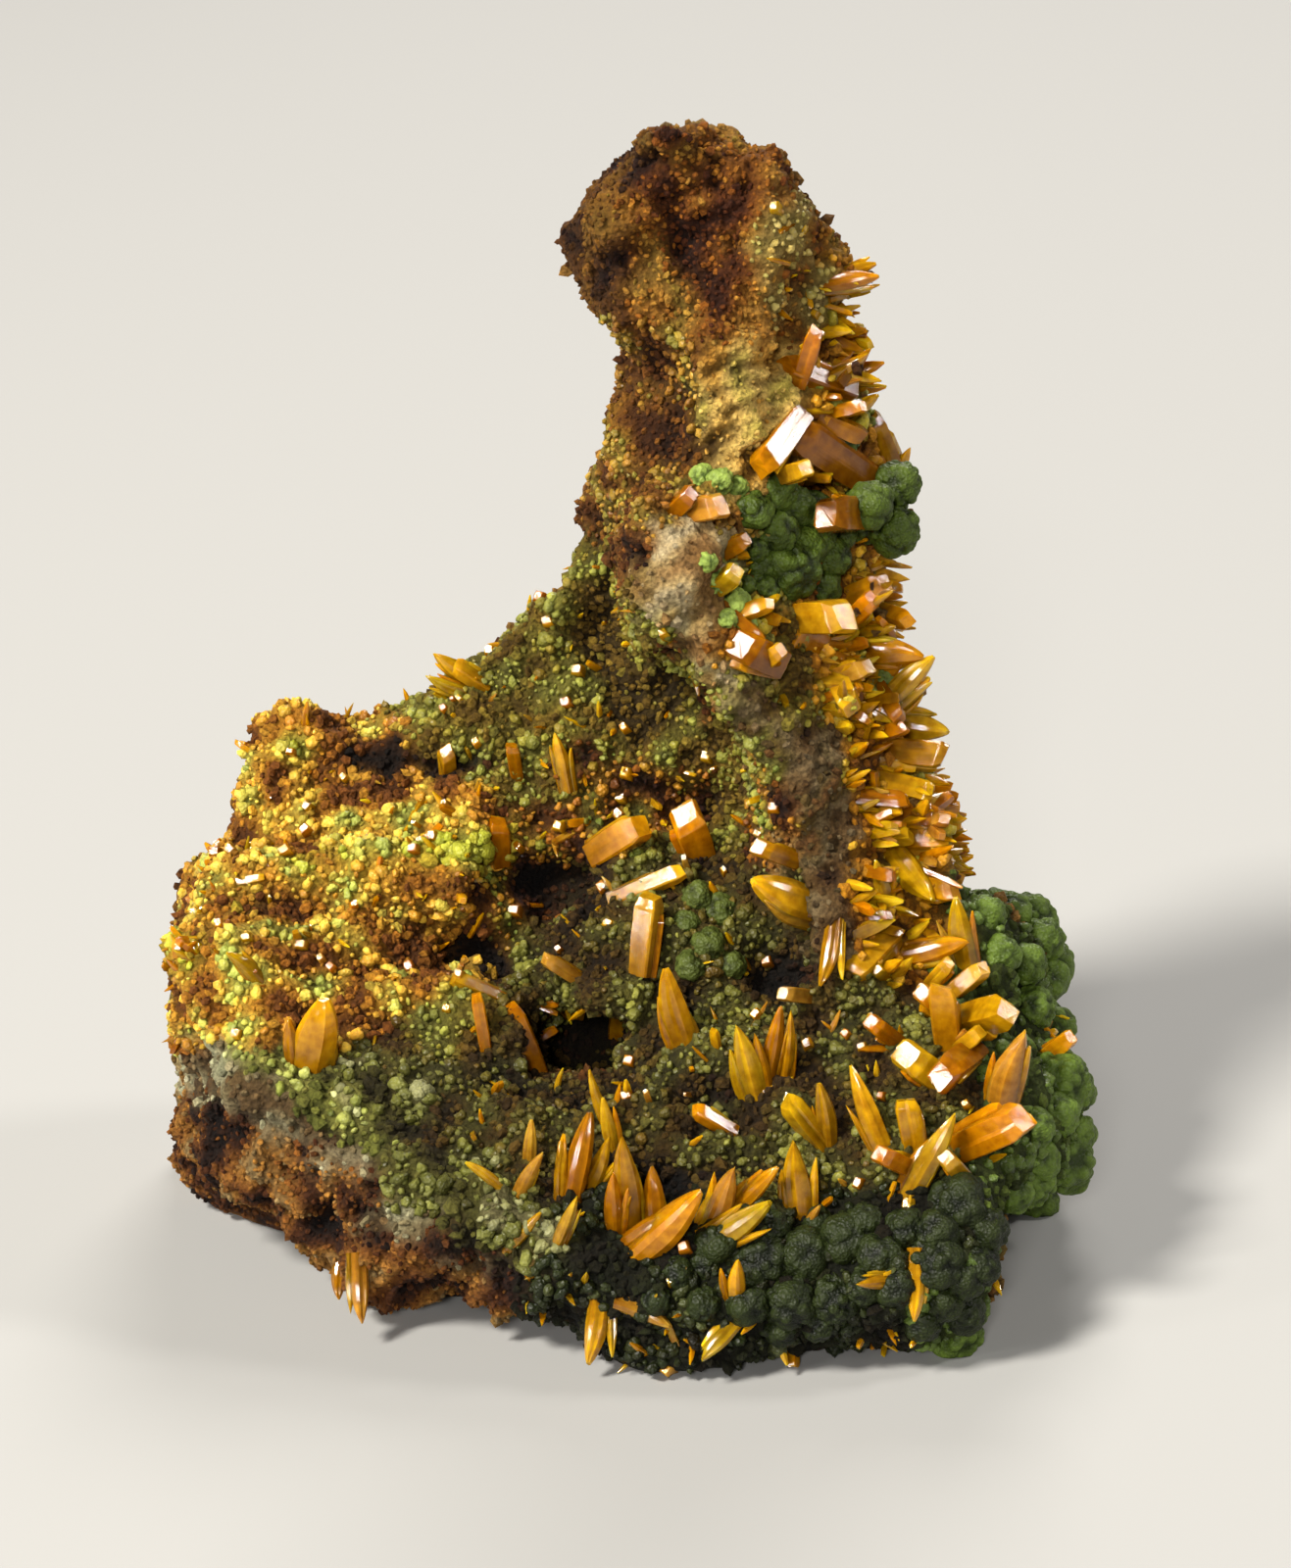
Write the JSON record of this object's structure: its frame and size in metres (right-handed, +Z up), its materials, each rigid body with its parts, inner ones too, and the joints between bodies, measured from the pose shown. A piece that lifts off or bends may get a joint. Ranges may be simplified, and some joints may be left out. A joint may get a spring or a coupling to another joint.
{
  "type": "wulfenite specimen",
  "caption": "Chair-shaped limonite matrix with a tall tower, crusted with green mimetite balls and set with honey-orange wulfenite crystals; rests on its flat base.",
  "frame": {"origin": "on the flat underside, below the middle of the display face", "axes": "+Z up along the tower, +Y to the back, +X to the right of the display face"},
  "size_m": [0.1096, 0.0794, 0.1286],
  "materials": {
    "limonite": "matt, porous, orange-brown to grey",
    "mimetite": "waxy to resinous, green to yellow-green",
    "wulfenite": "glossy, translucent honey-orange"
  },
  "bodies": {
    "root": {"limonite_matrix": "limonite", "mimetite_back_right_lobes_1": "mimetite", "mimetite_front_right_lobes_1": "mimetite", "mimetite_front_right_lobes_2": "mimetite", "mimetite_front_rim_1": "mimetite", "mimetite_lower_right_lobe_1": "mimetite", "mimetite_right_lobes_1": "mimetite", "mimetite_right_lobes_2": "mimetite", "mimetite_right_lobes_3": "mimetite", "mimetite_tower_cluster_1": "mimetite", "mimetite_tower_right_1": "mimetite", "wulfenite_back_floor_1": "wulfenite", "wulfenite_back_floor_2": "wulfenite", "wulfenite_buttress_foot_1": "wulfenite", "wulfenite_buttress_foot_2": "wulfenite", "wulfenite_flank_high_1": "wulfenite", "wulfenite_flank_high_2": "wulfenite", "wulfenite_flank_high_3": "wulfenite", "wulfenite_flank_low_1": "wulfenite", "wulfenite_flank_low_2": "wulfenite", "wulfenite_flank_low_3": "wulfenite", "wulfenite_flank_middle_1": "wulfenite", "wulfenite_flank_middle_2": "wulfenite", "wulfenite_flank_middle_3": "wulfenite", "wulfenite_floor_1": "wulfenite", "wulfenite_floor_2": "wulfenite", "wulfenite_floor_3": "wulfenite", "wulfenite_floor_4": "wulfenite", "wulfenite_floor_5": "wulfenite", "wulfenite_front_fan_1": "wulfenite", "wulfenite_front_fan_2": "wulfenite", "wulfenite_front_fan_3": "wulfenite", "wulfenite_front_fan_4": "wulfenite", "wulfenite_front_right_1": "wulfenite", "wulfenite_front_right_2": "wulfenite", "wulfenite_front_right_3": "wulfenite", "wulfenite_left_floor_1": "wulfenite", "wulfenite_left_floor_2": "wulfenite", "wulfenite_right_group_1": "wulfenite", "wulfenite_right_group_2": "wulfenite", "wulfenite_right_group_3": "wulfenite", "wulfenite_right_group_4": "wulfenite", "wulfenite_right_low_1": "wulfenite", "wulfenite_right_low_2": "wulfenite", "wulfenite_right_low_3": "wulfenite", "wulfenite_tower_1": "wulfenite", "wulfenite_tower_2": "wulfenite", "wulfenite_tower_front_1": "wulfenite", "wulfenite_underside_1": "wulfenite", "wulfenite_underside_2": "wulfenite", "wulfenite_underside_3": "wulfenite"}
  },
  "joints": []
}
